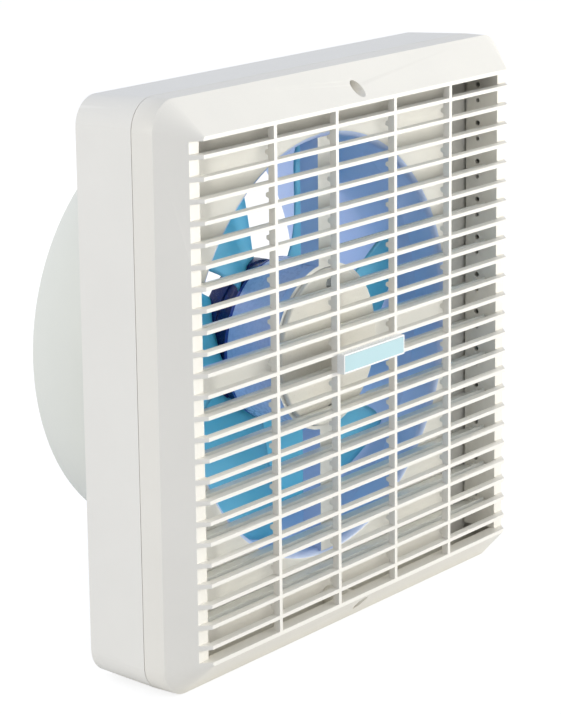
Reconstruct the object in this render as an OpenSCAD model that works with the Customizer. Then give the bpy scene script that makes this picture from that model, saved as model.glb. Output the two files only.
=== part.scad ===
// Window exhaust fan with a fixed louvre grille and a row of self-closing shutter blades.
//
// Every piece is drawn lying on its back on the wall: x runs across the fan, y runs up the fan
// and z comes out of the wall towards the room. stand() then turns the fan upright, so that
// +Z is up, the grille faces -Y and the duct runs along +Y.
// A profile inside along_x() is drawn as seen from the fan's side: its x is the depth, negative
// towards the room, and its y is the height.

/* [Body] */
// Outer width and height of the body at the joint between base and cover
body_size = 304; // [296:1:330]
// Depth of the base from the wall to the cover
base_depth = 37; // [32:1:48]
// How much each side of the base draws in towards the wall
base_draft = 1.9; // [0.5:0.1:3]
// Radius of the body's corners
corner_r = 16; // [12:1:20]
// Wall thickness of the base and cover mouldings
wall = 2.5; // [2:0.1:3]
// Height of the lip on the base that the cover slips over
lip_h = 3.6; // [3:0.1:5]
// Gap round that lip
lip_gap = 0.3; // [0.2:0.05:0.5]

/* [Cover] */
// Straight height of the cover's sides
skirt_h = 13.5; // [12:0.5:18]
// Depth and inset of the sloping rim round the grille
bevel = 17.4; // [16.4:0.2:18]
// Width of the rim at each side of the window behind the fins
rim_side = 20; // [18.5:0.5:24]
// Width of the rim above and below that window
rim_top = 19.5; // [18.5:0.5:23]
// Gap of the seam between base and cover
seam_gap = 0.4; // [0.2:0.1:0.8]
// Distance from the front of the fins back to the white steps at their ends
step_depth = 5.1; // [4.8:0.1:5.4]

/* [Grille] */
// Number of fins across the window
fin_count = 24; // [20:2:28]
// Height of the first and last slot
end_slot = 6.4; // [5.5:0.1:7]
// Thickness of a fin at its front edge
fin_front_t = 2; // [1.4:0.1:2.4]
// Thickness of a fin at its back edge
fin_root_t = 2.7; // [2.5:0.1:3.2]
// Depth of the fins and ribs
fin_depth = 3.9; // [3.5:0.1:4.2]
// Number of upright ribs
rib_count = 4; // [2:1:4]
// Distance between upright ribs
rib_pitch = 51.9; // [50:0.1:53]
// Thickness of an upright rib
rib_t = 2.4; // [2:0.1:3]
// Radius of the screw wells in the rim
well_r = 4.1; // [3.6:0.1:5]
// Distance of the screw wells from the top or bottom of the body
well_inset = 11.7; // [10.8:0.1:12.4]
// Depth of the well floor behind the front of the fins
well_depth = 14.9; // [13:0.1:16]

/* [Badge] */
// Width of the blank badge
badge_w = 55; // [40:1:70]
// Height of the blank badge
badge_h = 10.6; // [9:0.2:12]
// How far the badge stands in front of the fins
badge_out = 4.6; // [3:0.1:6]
// Thickness of the badge's face plate
badge_plate_t = 0.5; // [0.4:0.1:0.8]

/* [Shutter] */
// Angle a blade turns from open to closed
shutter_travel = 92; // [80:1:94]
// Angle by which the front edge of an open blade stands above its pivot
shutter_tilt = 12; // [8:1:14]
// Reach of a blade behind its pivot
blade_rear = 8.6; // [8.4:0.1:8.8]
// Gap between the sweep of a blade and the panel behind it
blade_run = 0.6; // [0.5:0.1:0.8]
// Gap between an open blade and the fins
blade_fin_gap = 0.4; // [0.3:0.1:0.6]
// Distance of a blade below the fin in front of it
blade_below_fin = 4.4; // [4:0.1:5]
// Thickness of a blade
blade_t = 1.2; // [1:0.1:1.4]
// Height of the stiffening flange along a blade
flange_h = 1.6; // [1.2:0.1:2]
// Distance of that flange in front of the pivot
flange_x = 6.2; // [5.5:0.1:7]
// Radius of a pivot pin
pivot_r = 1.5; // [1.3:0.1:1.7]
// Running gap round the pivot and crank pins
pin_gap = 0.06; // [0.04:0.01:0.09]
// Thickness of the rails that carry the blades
rail_t = 2.2; // [2:0.1:2.6]
// Gap between the end of a blade and its rail
blade_end_gap = 0.7; // [0.5:0.1:1]
// Radius of the core hole above each pivot hole
core_r = 1.5; // [1.2:0.1:1.8]
// Distance of the core holes from the pivot hole
core_pitch = 4.4; // [4:0.1:5]
// Gap between a rail and the panel behind it
rail_gap = 1.7; // [1:0.1:2]
// Distance from pivot to crank pin
crank_r = 6; // [5.6:0.1:6.2]
// Radius of a crank pin
crank_pin_r = 1.2; // [1:0.1:1.3]
// Width of the link bar
link_w = 4.4; // [4:0.1:4.6]
// Thickness of the link bar
link_t = 2.2; // [2:0.1:2.4]

/* [Actuator] */
// Radius of the thermal actuator's body
actuator_r = 5.6; // [5.2:0.1:5.8]
// Length of the actuator's body
actuator_len = 41; // [36:1:46]
// Radius of the plunger rod
plunger_r = 2.5; // [2:0.1:3]
// Distance from the link bar's drive stud down to the body
actuator_drop = 16; // [14:1:20]
// Wall of the clip that holds the actuator
clip_wall = 1.2; // [1:0.1:1.3]

/* [Duct] */
// Outer radius of the duct spigot
duct_r = 115; // [114:0.5:116]
// Length of the duct spigot behind the wall face
duct_len = 66; // [50:1:90]
// Wall of the duct
duct_wall = 2.5; // [2:0.1:3]
// Radius of the rounded inlet edge
inlet_r = 3.8; // [3:0.1:4]
// Width of the foam seal round the duct
seal_w = 9; // [6:0.5:12]
// Thickness of the foam seal
seal_t = 3; // [2:0.5:4]
// How much the duct is stepped in where it goes into the collar of the base
sleeve_step = 0.6; // [0.4:0.1:0.8]
// Wall of that collar
collar_wall = 2.4; // [2:0.1:2.8]
// Depth that the duct goes into the collar
sleeve_depth = 21; // [16:0.5:22]

/* [Motor] */
// Radius of the motor can
motor_r = 44.6; // [43:0.1:45]
// Wall of the motor can
can_wall = 1.6; // [1.2:0.1:2]
// Distance from the wall face to the back of the motor
motor_back = 6.4; // [6:0.2:8]
// Width of the four arms that carry the motor
arm_w = 12; // [10:0.5:14]
// Depth of those arms
arm_depth = 14.4; // [12:0.2:15]
// How far the motor cap stands in front of the inlet panel
cap_out = 2.6; // [2.2:0.1:3]
// Radius of the motor cap
cap_r = 42.8; // [42:0.1:43]
// Distance of the motor screws from the fan's axis
motor_screw_y = 34.6; // [33:0.2:35]
// Length of the motor screws under the head
motor_screw_len = 10.5; // [9:0.5:12]
// Radius of the motor shaft
shaft_r = 4; // [3.5:0.1:4.5]
// Outer radius of the two bearings
bearing_r = 8; // [7.5:0.1:9]
// Radius of the rotor
rotor_r = 24; // [20:0.5:26]
// Air gap between rotor and stator
air_gap = 0.4; // [0.3:0.05:0.6]
// Width of a stator coil
coil_w = 10; // [8:0.5:12]

/* [Impeller] */
// Number of impeller blades
vane_count = 6; // [5:1:7]
// Radius of the impeller hub
hub_r = 41.5; // [40:0.5:43]
// Gap between the blade tips and the duct
tip_gap = 2.2; // [1.8:0.1:3]
// Angle that one blade covers at the hub
vane_wrap = 52; // [44:1:56]
// Depth of a blade at the hub
vane_root_depth = 15; // [13:0.5:16]
// Depth of a blade at its tip
vane_tip_depth = 34; // [28:1:36]
// Thickness of a blade
vane_t = 2.2; // [2:0.1:2.6]
// How far the tip of a blade leads its root
vane_sweep = 14; // [8:1:20]
// Angle at which the impeller rests
vane_start = -13; // [-60:1:60]

/* [Wiring] */
// Radius of the motor lead
lead_r = 2.6; // [2:0.1:2.8]
// Height of the terminal block
terminal_h = 36; // [30:1:40]
// Depth of the terminal block
terminal_depth = 16; // [14:0.5:18]

/* [Fixing] */
// Distance of the wall screws from the sides of the body
fixing_inset = 14; // [13:0.5:15]
// Radius of the wall screw holes
fixing_r = 2.4; // [2:0.1:3]
// Length of the cover screws under the head
cover_screw_len = 22; // [18:1:24]

/* [Hidden] */

// Cuts run this far past the faces they open
past = 1;
// Play between still pieces that sit round each other
seat_gap = 0.02;
// How far parts of one moulding run into each other
sink = 0.2;
// Play round a screw where it passes through
screw_play = 0.2;

// Body and cover
half = body_size / 2;
window_w = body_size - 2 * rim_side;
window_h = body_size - 2 * rim_top;
panel_z = base_depth + lip_h;
skirt_z = base_depth + skirt_h;
front_z = skirt_z + bevel;
front_half = half - bevel;
front_corner_r = 1.5;
step_z = front_z - step_depth;
fin_back_z = front_z - fin_depth;
cavity_half = half - base_draft - wall - 0.2;
cavity_r = corner_r - 3.5;
cover_in_half = half - wall;
lip_half = cover_in_half - lip_gap;
// A sloping wall as thick as the others is this much wider along the depth
slope_wall = wall * sqrt(2);
ceiling_z = step_z - wall;
// Axes of the cover screws and wall screws
well_y = half - well_inset;
fixing_xy = half - fixing_inset;

// Grille
fin_pitch = (window_h - 2 * end_slot - fin_root_t) / (fin_count - 1);
function fin_y(i) = ((fin_count + 1) / 2 - i) * fin_pitch;
function rib_x(i) = (i - (rib_count + 1) / 2) * rib_pitch;

// Shutter blades, counted from the top
blade_count = fin_count / 2;
blade_pitch = 2 * fin_pitch;
pivot_z = panel_z + blade_rear + blade_run;
blade_front = fin_back_z - pivot_z - blade_fin_gap;
function blade_y(i) = fin_y(2 * i - 1) - blade_below_fin;
rail_x = window_w / 2;
blade_half = rail_x - blade_end_gap;
// Lugs on the back of the ribs, and the notches in the blades that clear them
lug_reach = 1.8;
lug_h = 3.6;
notch_w = 6;
notch_gap = 0.8;
// A blade that passes the motor cap is cut back behind the pivot over the cap's width at that
// height; while it turns, its rear edge sweeps from a little below its rest to well above it
cap_gap = 0.5;
function cap_near(y) = max(0, y - 3.9, -y - 6.5);
function cap_half(y) = sqrt(max(0, cap_r * cap_r - cap_near(y) * cap_near(y)));
// The crank pin swings evenly above and below the pivot's height
crank_angle = shutter_travel / 2;
crank_dz = crank_r * cos(crank_angle);
crank_dy = crank_r * sin(crank_angle);
link_travel = 2 * crank_dy;
lug_t = 1.8;
link_end_gap = 1.2;
link_x = -rail_x + link_end_gap;
lug_x = link_x + link_t + 0.4;
link_end = 4;

// Actuator, in the space between the left rail and the cover's rim
actuator_x = -(rail_x + rail_t + 0.4 + actuator_r + seat_gap + clip_wall);
actuator_z = panel_z + actuator_r + 0.4;
stud_r = 1.5;
stud_y = (blade_y(9) + blade_y(10)) / 2 - crank_dy;
stud_z = pivot_z - crank_dz;
stud_play = 0.25;
yoke_w = 6.4;
yoke_h = 8;
yoke_d = 8.4;
actuator_top = stud_y - actuator_drop;
plunger_len = 42;

// Duct, whose shoulder rests on the collar of the base
bore_r = duct_r - duct_wall;
plug_r = duct_r - sleeve_step;
socket_r = plug_r + seat_gap;
collar_r = socket_r + collar_wall;
seal_play = 0.1;

// Motor, whose screws pass through the cap and the web of the base
cap_front = panel_z + cap_out;
arm_back = cap_front - arm_depth;
ring_out = 0.6;
ring_r = motor_r + ring_out;
// The web's depth behind the panel
web_drop = 4.6;
web_back = panel_z - web_drop;
web_t = 2.5;
web_front = web_back + web_t;
web_hole_r = 14;
cap_t = 2;
cap_dip = 1.6;
cap_seat_gap = 0.3;
can_gap = 0.3;
motor_head_r = 2.3;
head_gap = 0.6;
motor_head_t = 1.2;
motor_post_r = 3.6;
cover_head_r = well_r - 0.7;
cover_head_t = 2.2;
screw_r = 1.7;
can_front_t = 2;
can_back = motor_back + can_front_t;
// Bearing bosses: wall, reach behind and in front of the web, and length of the rear one
boss_wall = 3;
boss_in = 5;
boss_out = 4;
rear_boss_len = 6;
boss_r = bearing_r + boss_wall;
front_boss_back = web_back - boss_in;
front_boss_front = web_back + boss_out;
bearing_t = 5;
rear_boss_front = motor_back + rear_boss_len;
// The stator fills the can but for the play round it and the room behind and in front
stator_play = 0.2;
stator_room_back = 2;
stator_room_front = 7;
coil_out = 3;
coil_sink = 0.5;
rotor_inset = 0.5;
stator_r = motor_r - can_wall - stator_play;
stator_back = rear_boss_front + stator_room_back;
stator_front = web_back - stator_room_front;
shaft_inset = 0.6;
shaft_front = front_boss_front - shaft_inset;
shaft_back = -17;
shaft_gap = 0.05;
shaft_clear = 0.6;

// Impeller
hub_gap = 2;
hub_front = motor_back - hub_gap;
hub_back = -14;
hub_wall = 2.2;
hub_floor = 2.5;
hub_boss_r = 9;
hub_boss_drop = 2;
hub_rib_t = 1.8;
tip_r = bore_r - tip_gap;
vane_in_r = hub_r - hub_wall / 2;
vane_root_z = (hub_front + hub_back) / 2;
vane_tip_z = 0;
vane_camber = 5;
vane_steps = 8;
nut_r = 7;

// Wiring, in the pocket between the duct and the right side of the base
lead_gap = 0.2;
lead_z = arm_back - lead_r - lead_gap;
pocket_x = collar_r + 3.7;
terminal_w = cavity_half - pocket_x - 3.6;
panel_back = panel_z - wall;
terminal_z = panel_back - terminal_depth;
terminal_screw_r = 1.9;
terminal_screw_len = 7;
terminal_screw_depth = 2;
terminal_pitch = 11;
clamp_y = -66;
clamp_w = 22;
clamp_x = cavity_half - clamp_w / 2 - 1;
clamp_screw_pitch = 16;
clamp_d = 10;
clamp_t = 9;
clamp_screw_r = 1.5;
clamp_head_r = 2.5;
clamp_head_t = 1.6;

module stand() rotate([90, 0, 0]) children();

// Extrudes a side-view profile along x, from x0 over a length
module along_x(x0, len) translate([x0, 0, 0]) rotate([0, 90, 0]) linear_extrude(len) children();

// A square with round corners
module rounded_square(half_size, r) {
    square([2 * half_size, 2 * (half_size - r)], center = true);
    square([2 * (half_size - r), 2 * half_size], center = true);
    for (x = [-1, 1], y = [-1, 1])
        translate([x * (half_size - r), y * (half_size - r)]) circle(r, $fn = 48);
}

module plate(half_size, r, z0, z1)
    translate([0, 0, z0]) linear_extrude(z1 - z0) rounded_square(half_size, r);

// A block whose sides taper from one rounded square to another
module tapered_block(half_0, r_0, z0, half_1, r_1, z1) {
    skin = 0.01;
    hull() {
        plate(half_0, r_0, z0, z0 + skin);
        plate(half_1, r_1, z1 - skin, z1);
    }
}

module ring(r_out, r_in, z0, z1) {
    difference() {
        translate([0, 0, z0]) cylinder(z1 - z0, r = r_out, $fn = 96);
        translate([0, 0, z0 - past]) cylinder(z1 - z0 + 2 * past, r = r_in, $fn = 96);
    }
}

module bore(x, y, r, z0, z1) translate([x, y, z0]) cylinder(z1 - z0, r = r, $fn = 32);

// ---- Base: tray, inlet panel, duct and motor arms in one moulding ----

base_rib_t = 2;
fixing_post_r = 6;
fixing_head_room = 2;
screw_boss_r = 5;
screw_boss_h = 12;

module base_shell() {
    difference() {
        union() {
            tapered_block(half - base_draft, corner_r - 1, 0, half, corner_r, base_depth);
            plate(lip_half, cavity_r + 1, base_depth - past, panel_z);
        }
        plate(cavity_half, cavity_r, -past, panel_back);
    }
}

// Ribs that tie the duct to the walls of the tray, kept clear of the foam seal
module base_ribs() {
    rib_len = 2 * half;
    intersection() {
        difference() {
            for (a = [20, 45, 70, 110, 135, 160])
                rotate(a) translate([-rib_len, -base_rib_t / 2, seal_t])
                    cube([2 * rib_len, base_rib_t, panel_back - seal_t + sink]);
            translate([0, 0, -past]) cylinder(panel_z, r = collar_r - 0.5, $fn = 96);
        }
        plate(cavity_half + 0.5, cavity_r, 0, panel_z);
    }
}

module fixing_posts()
    for (x = [-1, 1], y = [-1, 1])
        translate([x * fixing_xy, y * fixing_xy, 0])
            cylinder(panel_back + sink, r = fixing_post_r, $fn = 32);

// A wall screw goes in through the wide bore and its head lands on the floor of the post
module fixing_bores() {
    post_floor = 4;
    for (x = [-1, 1], y = [-1, 1]) {
        bore(x * fixing_xy, y * fixing_xy, fixing_r, -past, panel_z + past);
        bore(x * fixing_xy, y * fixing_xy, fixing_r + fixing_head_room, post_floor, panel_z + past);
    }
}

module motor_arms() {
    for (a = [0, 90])
        rotate(a) translate([-bore_r - past, -arm_w / 2, arm_back])
            cube([2 * (bore_r + past), arm_w, arm_depth]);
}

// The socket for the duct, and in front of it the opening with its rounded inlet edge
module duct_opening() {
    rotate_extrude($fn = 128) {
        translate([0, -past]) square([socket_r, sleeve_depth + seat_gap + past]);
        translate([0, -past]) square([bore_r, panel_z + 2 * past]);
        difference() {
            translate([bore_r - past, panel_z - inlet_r]) square([inlet_r + past, inlet_r + past]);
            translate([bore_r + inlet_r, panel_z - inlet_r]) circle(inlet_r, $fn = 48);
        }
    }
}

module base_frame() color("ivory") stand() {
    difference() {
        union() {
            base_shell();
            base_ribs();
            fixing_posts();
            cylinder(panel_back + sink, r = collar_r, $fn = 128);
            for (y = [-1, 1])
                translate([0, y * well_y, panel_back - screw_boss_h])
                    cylinder(screw_boss_h + sink, r = screw_boss_r, $fn = 32);
        }
        difference() {
            duct_opening();
            intersection() {
                union() {
                    motor_arms();
                    translate([0, 0, web_back]) cylinder(arm_depth, r = ring_r, $fn = 96);
                }
                translate([0, 0, arm_back - past]) cylinder(2 * arm_depth, r = bore_r + past, $fn = 96);
            }
        }
        fixing_bores();
        for (y = [-1, 1]) bore(0, y * well_y, screw_r - 0.1, panel_back - 10, panel_z + past);
        // Seat of the motor cap, the opening for the motor's front boss, and the motor itself
        translate([0, 0, web_front]) cylinder(arm_depth, r = cap_r + cap_seat_gap, $fn = 96);
        translate([0, 0, web_back - past]) cylinder(web_t + 2 * past, r = web_hole_r, $fn = 64);
        translate([0, 0, motor_back]) cylinder(web_back - motor_back, r = motor_r + can_gap, $fn = 96);
        for (y = [-1, 1])
            bore(0, y * motor_screw_y, screw_r + screw_play, web_back - past, web_front + past);
        // The motor lead passes through the duct wall
        translate([bore_r - past, 0, lead_z]) rotate([0, 90, 0])
            cylinder(pocket_x - bore_r, r = lead_r + lead_gap, $fn = 32);
    }
}

module duct_sleeve() color("cornflowerblue") stand()
    rotate_extrude($fn = 128) translate([bore_r, 0]) {
        translate([0, -duct_len]) square([duct_wall, duct_len]);
        translate([0, -past]) square([plug_r - bore_r, sleeve_depth + past]);
    }

module duct_seal() color("dimgray") stand()
    ring(collar_r + seal_play + seal_w, collar_r + seal_play, 0, seal_t);

// ---- Cover: skirt, sloping rim, fins and ribs in one moulding ----

module cover_outside() {
    plate(half, corner_r, base_depth + seam_gap, skirt_z);
    tapered_block(half, corner_r, skirt_z - 0.01, front_half, front_corner_r, front_z);
}

module cover_inside() {
    slope_start = skirt_z + wall - slope_wall;
    plate(cover_in_half, corner_r - wall, base_depth - past, slope_start + 0.01);
    tapered_block(cover_in_half, corner_r - wall, slope_start,
        cover_in_half - (ceiling_z - slope_start), 5, ceiling_z);
    translate([-window_w / 2, -window_h / 2, ceiling_z - past])
        cube([window_w, window_h, fin_back_z - ceiling_z + past]);
}

// Slots between the fins, tapered so that each fin is thinner at its front edge.
// They run out sideways through the rim and leave a flat step at each end.
module slots() {
    reach = half;
    front = front_z + past;
    flare = (fin_root_t - fin_front_t) / 2 * (step_depth + past) / step_depth;
    for (i = [1 : fin_count - 1]) {
        top = fin_y(i) - fin_root_t / 2;
        bottom = fin_y(i + 1) + fin_root_t / 2;
        along_x(-reach, 2 * reach) polygon([[-step_z, top], [-step_z, bottom],
            [-front, bottom - flare], [-front, top + flare]]);
    }
    for (s = [-1, 1]) {
        near = s * (fin_y(1) + fin_root_t / 2);
        along_x(-reach, 2 * reach) polygon([[-step_z, near], [-step_z, s * window_h / 2],
            [-front, s * window_h / 2], [-front, near - s * flare]]);
    }
}

// Side view of a stop lug on the back of a rib
module rib_lug(middle)
    polygon([[-fin_back_z - 0.2, middle - lug_h / 2], [-fin_back_z - 0.2, middle + lug_h / 2],
        [-fin_back_z + lug_reach, middle + lug_h / 4], [-fin_back_z + lug_reach, middle - lug_h / 4]]);

module ribs() {
    for (i = [1 : rib_count]) {
        translate([rib_x(i) - rib_t / 2, -window_h / 2 - 0.5, fin_back_z])
            cube([rib_t, window_h + 1, fin_depth]);
        for (b = [1 : blade_count])
            along_x(rib_x(i) - rib_t / 2, rib_t) rib_lug(blade_y(b) - 1.5);
    }
}

module screw_pillars() {
    intersection() {
        for (y = [-1, 1])
            translate([0, y * well_y, panel_z]) cylinder(front_z - panel_z, r = well_r + 1.6, $fn = 48);
        cover_outside();
    }
}

module front_cover() color("ivory") stand() {
    difference() {
        union() {
            difference() {
                cover_outside();
                cover_inside();
                slots();
            }
            screw_pillars();
        }
        for (y = [-1, 1]) {
            bore(0, y * well_y, well_r, front_z - well_depth, front_z + past);
            bore(0, y * well_y, screw_r + screw_play, base_depth, front_z);
        }
    }
    ribs();
}

// A pan-head screw pointing towards the wall
module pan_screw(x, y, head_z, head_r, head_t, r, len) {
    slot_w = 1;
    difference() {
        translate([x, y, head_z]) cylinder(head_t, r = head_r, $fn = 32);
        translate([x, y, head_z + head_t]) cube([2 * head_r, slot_w, head_t], center = true);
    }
    translate([x, y, head_z - len]) cylinder(len + 0.01, r = r, $fn = 24);
}

module cover_screws() color("silver") stand()
    for (y = [-1, 1])
        pan_screw(0, y * well_y, front_z - well_depth, cover_head_r, cover_head_t, screw_r - 0.15,
            cover_screw_len);

module badge_holder() color("white") stand() {
    stem_w = rib_pitch - rib_t - 0.4;
    stem_h = fin_pitch - fin_root_t - 0.4;
    middle = fin_y(fin_count / 2) / 2 + fin_y(fin_count / 2 + 1) / 2;
    translate([-stem_w / 2, middle - stem_h / 2, fin_back_z + 0.3]) cube([stem_w, stem_h, fin_depth]);
    difference() {
        translate([-badge_w / 2, middle - badge_h / 2, front_z]) cube([badge_w, badge_h, badge_out]);
        badge_face(0, front_z + badge_out - badge_plate_t, past + badge_plate_t);
    }
}

// The blank face plate, drawn smaller all round by a margin
module badge_face(margin, z, t) {
    rim = 1;
    w = badge_w - 2 * rim - 2 * margin;
    h = badge_h - 2 * rim - 2 * margin;
    translate([-w / 2, -h / 2, z]) cube([w, h, t]);
}

module badge_plate() color("lightcyan") stand()
    badge_face(seat_gap, front_z + badge_out - badge_plate_t, badge_plate_t);

// ---- Shutter: rails, blades and link bar ----

module rail(side) {
    flange_w = 3.8;
    flange_t = 2;
    z0 = panel_z + rail_gap;
    difference() {
        union() {
            translate([side > 0 ? rail_x : -rail_x - rail_t, -window_h / 2, z0])
                cube([rail_t, window_h, ceiling_z - z0]);
            translate([side > 0 ? rail_x : -rail_x - rail_t - flange_w, -window_h / 2,
                ceiling_z - flange_t])
                cube([rail_t + flange_w, window_h, flange_t]);
        }
        for (i = [1 : blade_count]) {
            translate([side * rail_x - 5, blade_y(i), pivot_z]) rotate([0, 90, 0])
                cylinder(10, r = pivot_r + pin_gap, $fn = 32);
            for (s = [-1, 1])
                translate([side * rail_x - 5, blade_y(i) + s * core_pitch, pivot_z]) rotate([0, 90, 0])
                    cylinder(10, r = s > 0 ? core_r : 0.8 * core_r, $fn = 16);
        }
        if (side < 0) stud_notch();
    }
}

// The drive stud of the link bar passes through this notch in the left rail
module stud_notch() {
    clear = stud_r + 0.4;
    top_z = stud_z + clear;
    translate([-rail_x - rail_t - past, stud_y - clear, panel_z])
        cube([rail_t + 2 * past, link_travel + 2 * clear, top_z - panel_z]);
}

module shutter_rail_left() color("ivory") stand() rail(-1);

module shutter_rail_right() color("ivory") stand() rail(1);

// Side view of a blade about its pivot: web, upright flange and a small lip at the back
module blade_profile() {
    t = blade_t / 2;
    flange_t = 1.2;
    lip = 1.2;
    rotate(-shutter_tilt) {
        translate([-blade_front, -t]) square([blade_front + blade_rear, blade_t]);
        translate([-flange_x - flange_t / 2, 0]) square([flange_t, t + flange_h]);
        translate([blade_rear - 1, -t - lip]) square([1, t + lip]);
    }
}

// Side view of the small lug that carries the crank pin
module lug_profile() {
    eye_r = 1.9;
    polygon([[-1.5, -blade_t / 2], [1.8, -blade_t / 2 - 0.5], [crank_dz + 2, blade_t / 2],
        [-1.5, blade_t / 2]]);
    polygon([[0.4, 0], [crank_dz - eye_r, -crank_dy], [crank_dz + eye_r, -crank_dy],
        [crank_dz + eye_r, 0]]);
    translate([crank_dz, -crank_dy]) circle(eye_r, $fn = 32);
}

module cap_notch(half_w)
    translate([-half_w, -5, -blade_rear - past])
        cube([2 * half_w, 10, blade_rear + past - (pivot_z - cap_front - cap_gap)]);

module shutter_blade(i) color("whitesmoke") stand() translate([0, blade_y(i), pivot_z]) {
    difference() {
        along_x(-blade_half, 2 * blade_half) blade_profile();
        // Room for the link bar behind the pivot
        translate([-rail_x, -5, -blade_rear - past]) cube([lug_x + rail_x, 10, blade_rear + past]);
        for (k = [1 : rib_count])
            translate([rib_x(k) - notch_w / 2, -5, fin_back_z - lug_reach - notch_gap - pivot_z])
                cube([notch_w, 10, blade_front]);
        if (cap_half(blade_y(i)) > 0) cap_notch(cap_half(blade_y(i)) + cap_gap);
    }
    along_x(lug_x, lug_t) lug_profile();
    pin_out = rail_t + blade_end_gap - 0.3;
    translate([blade_half - 3, 0, 0]) rotate([0, 90, 0]) cylinder(3 + pin_out, r = pivot_r, $fn = 32);
    translate([-blade_half - pin_out, 0, 0]) rotate([0, 90, 0])
        cylinder(lug_x + lug_t + blade_half + pin_out, r = pivot_r, $fn = 32);
    translate([link_x - 0.5, -crank_dy, -crank_dz]) rotate([0, 90, 0])
        cylinder(lug_x - link_x + 0.6, r = crank_pin_r, $fn = 32);
}

module link_bar() color("gainsboro") stand() {
    bottom = blade_y(blade_count) - crank_dy - link_end;
    top = blade_y(1) - crank_dy + link_end;
    difference() {
        translate([link_x, bottom, stud_z - link_w / 2]) cube([link_t, top - bottom, link_w]);
        for (i = [1 : blade_count])
            translate([link_x - past, blade_y(i) - crank_dy, stud_z]) rotate([0, 90, 0])
                cylinder(link_t + 2 * past, r = crank_pin_r + pin_gap, $fn = 32);
    }
    stud_end = actuator_x - yoke_w / 2 - 0.5;
    translate([stud_end, stud_y, stud_z]) rotate([0, 90, 0])
        cylinder(link_x - stud_end + 0.1, r = stud_r, $fn = 32);
}

// ---- Thermal actuator ----

module actuator_body() color("gold") stand() {
    guide = 34;
    difference() {
        translate([actuator_x, actuator_top, actuator_z]) rotate([90, 0, 0])
            cylinder(actuator_len, r = actuator_r, $fn = 48);
        translate([actuator_x, actuator_top + past, actuator_z]) rotate([90, 0, 0])
            cylinder(guide + past, r = plunger_r + pin_gap, $fn = 32);
    }
}

// Rod with a slotted yoke round the drive stud
module actuator_plunger() color("silver") stand() {
    // The stud swings back to the full crank radius half way
    slot_back = stud_z - stud_r - 0.5 - (crank_r - crank_dz);
    slot_front = stud_z + stud_r + 0.4;
    yoke_z = panel_z + 0.4;
    difference() {
        translate([actuator_x - yoke_w / 2, stud_y - yoke_h / 2, yoke_z])
            cube([yoke_w, yoke_h, yoke_d]);
        translate([actuator_x - yoke_w / 2 - past, stud_y - stud_r - stud_play, slot_back])
            cube([yoke_w + 2 * past, 2 * (stud_r + stud_play), slot_front - slot_back]);
    }
    translate([actuator_x, stud_y - yoke_h / 2 + 0.01, actuator_z]) rotate([90, 0, 0])
        cylinder(plunger_len - yoke_h / 2, r = plunger_r, $fn = 32);
}

module actuator_clip() color("silver") stand() {
    clip_h = 14;
    foot_t = 2.5;
    out_r = actuator_r + seat_gap + clip_wall;
    translate([actuator_x, actuator_top - actuator_len / 2, actuator_z]) rotate([90, 0, 0])
        difference() {
            union() {
                cylinder(clip_h, r = out_r, $fn = 48, center = true);
                translate([-out_r, panel_z - actuator_z, -clip_h / 2])
                    cube([2 * out_r, foot_t, clip_h]);
            }
            cylinder(clip_h + 2 * past, r = actuator_r + seat_gap, $fn = 48, center = true);
            translate([-out_r - past, panel_z - actuator_z - clip_h, -clip_h])
                cube([2 * (out_r + past), clip_h, 2 * clip_h]);
        }
}

// ---- Motor ----

module motor_cap() color("white") stand() {
    edge_r = 1.4;
    difference() {
        rotate_extrude($fn = 96) difference() {
            union() {
                translate([0, web_front]) square([cap_r, cap_front - web_front - edge_r]);
                translate([0, web_front]) square([cap_r - edge_r, cap_front - web_front]);
                translate([cap_r - edge_r, cap_front - edge_r]) circle(edge_r, $fn = 32);
            }
            translate([-past, web_front - past])
                square([cap_r - cap_t + past, cap_front - cap_t - web_front + past]);
        }
        for (y = [-1, 1]) {
            bore(0, y * motor_screw_y, screw_r + screw_play, web_back, cap_front + past);
            bore(0, y * motor_screw_y, motor_head_r + head_gap, cap_front - cap_dip, cap_front + past);
        }
    }
    // Posts under the screw heads stand on the web of the base
    for (y = [-1, 1])
        translate([0, y * motor_screw_y, 0])
            ring(motor_post_r, screw_r + screw_play, web_front, cap_front - cap_dip);
}

module motor_screws() color("silver") stand()
    for (y = [-1, 1])
        pan_screw(0, y * motor_screw_y, cap_front - cap_dip, motor_head_r, motor_head_t, screw_r,
            motor_screw_len);

module motor_housing() color("lightsteelblue") stand() {
    difference() {
        union() {
            translate([0, 0, can_back]) cylinder(web_back - can_back, r = motor_r, $fn = 96);
            translate([0, 0, web_back - past])
                cylinder(front_boss_front - web_back + past, r = boss_r, $fn = 48);
        }
        difference() {
            translate([0, 0, can_back - past])
                cylinder(web_back - can_front_t - can_back + past, r = motor_r - can_wall, $fn = 96);
            translate([0, 0, front_boss_back]) cylinder(web_back, r = boss_r, $fn = 48);
        }
        bore(0, 0, bearing_r + seat_gap, front_boss_back - past, front_boss_back + bearing_t);
        bore(0, 0, shaft_r + shaft_clear, front_boss_back, front_boss_front - 0.4);
        for (y = [-1, 1])
            bore(0, y * motor_screw_y, screw_r + 2 * seat_gap, web_back - 10, web_back + past);
    }
}

module motor_rear_cover() color("lightsteelblue") stand() {
    difference() {
        union() {
            translate([0, 0, motor_back]) cylinder(can_front_t, r = motor_r, $fn = 96);
            translate([0, 0, motor_back]) cylinder(rear_boss_front - motor_back, r = boss_r, $fn = 48);
        }
        bore(0, 0, shaft_r + shaft_clear, motor_back - past, rear_boss_front);
        bore(0, 0, bearing_r + seat_gap, rear_boss_front - bearing_t, rear_boss_front + past);
    }
}

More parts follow.
